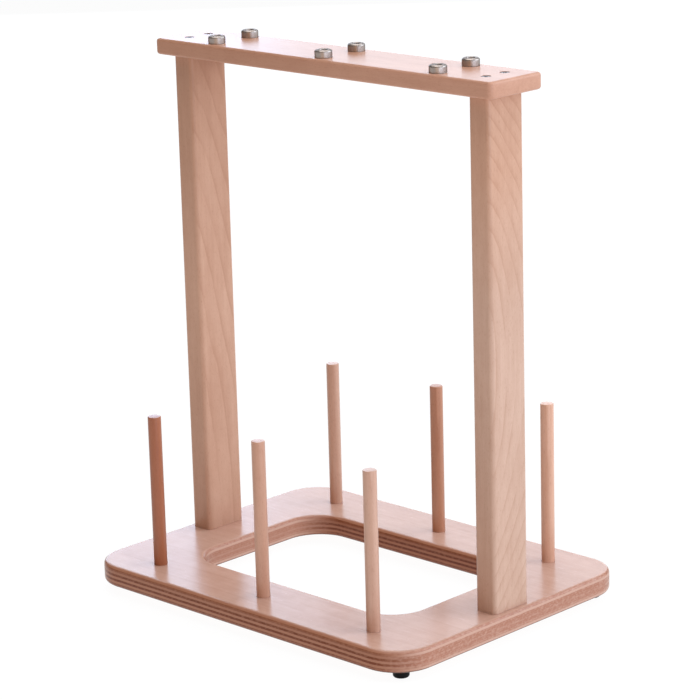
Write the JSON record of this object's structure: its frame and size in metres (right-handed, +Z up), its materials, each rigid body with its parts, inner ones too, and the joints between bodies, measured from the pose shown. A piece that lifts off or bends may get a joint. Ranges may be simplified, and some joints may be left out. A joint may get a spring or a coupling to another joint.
{
  "type": "yarn cone stand",
  "caption": "Wooden yarn cone stand: a rounded plywood ring base with upright dowel pegs, end posts, and a flat top rail that carries short metal thread guides.",
  "frame": {"origin": "on the floor, under the middle of the base board", "axes": "+X along the rail to the right, +Y to the back, +Z up along the posts"},
  "size_m": [0.411, 0.3046, 0.51],
  "materials": {
    "plywood": "semi-gloss clear lacquer over pale tan plywood, with darker plies at the edges",
    "rail_wood": "semi-gloss clear lacquer over pale tan solid wood",
    "post_wood": "satin clear lacquer over pale tan solid wood",
    "peg_wood_dark": "satin dowel, reddish brown",
    "peg_wood_orange": "satin dowel, orange brown",
    "peg_wood_pale": "satin dowel, pale peach",
    "guide_metal": "satin turned metal",
    "screw_metal": "dark grey, satin",
    "foot_rubber": "black, matt"
  },
  "bodies": {
    "stand": {"base_board": "plywood", "top_rail": "rail_wood", "left_post": "post_wood", "right_post": "post_wood", "thread_guide_front_left": "guide_metal", "thread_guide_front_middle": "guide_metal", "thread_guide_front_right": "guide_metal", "thread_guide_back_left": "guide_metal", "thread_guide_back_middle": "guide_metal", "thread_guide_back_right": "guide_metal", "foot_front_left": "foot_rubber", "foot_front_right": "foot_rubber", "foot_back_left": "foot_rubber", "foot_back_right": "foot_rubber", "foot_screw_front_left": "screw_metal", "foot_screw_front_right": "screw_metal", "foot_screw_back_left": "screw_metal", "foot_screw_back_right": "screw_metal", "rail_screw_left_front": "screw_metal", "rail_screw_left_back": "screw_metal", "rail_screw_right_front": "screw_metal", "rail_screw_right_back": "screw_metal", "base_screw_left_front": "screw_metal", "base_screw_left_back": "screw_metal", "base_screw_right_front": "screw_metal", "base_screw_right_back": "screw_metal"},
    "peg_front_left": {"peg_front_left": "peg_wood_dark"},
    "peg_front_middle": {"peg_front_middle": "peg_wood_pale"},
    "peg_front_right": {"peg_front_right": "peg_wood_pale"},
    "peg_back_left": {"peg_back_left": "peg_wood_orange"},
    "peg_back_middle": {"peg_back_middle": "peg_wood_orange"},
    "peg_back_right": {"peg_back_right": "peg_wood_pale"}
  },
  "joints": [
    {"name": "peg_front_left_slide", "type": "slide", "parent": "stand", "child": "peg_front_left", "axis": [0, 0, 1], "range_m": [-0.0007, 0.015]},
    {"name": "peg_front_middle_slide", "type": "slide", "parent": "stand", "child": "peg_front_middle", "axis": [0, 0, 1], "range_m": [-0.0034, 0.0123]},
    {"name": "peg_front_right_slide", "type": "slide", "parent": "stand", "child": "peg_front_right", "axis": [0, 0, 1], "range_m": [-0.0038, 0.0119]},
    {"name": "peg_back_left_slide", "type": "slide", "parent": "stand", "child": "peg_back_left", "axis": [0, 0, 1], "range_m": [0, 0.0157]},
    {"name": "peg_back_middle_slide", "type": "slide", "parent": "stand", "child": "peg_back_middle", "axis": [0, 0, 1], "range_m": [-0.0017, 0.014]},
    {"name": "peg_back_right_slide", "type": "slide", "parent": "stand", "child": "peg_back_right", "axis": [0, 0, 1], "range_m": [-0.0092, 0.0065]}
  ]
}
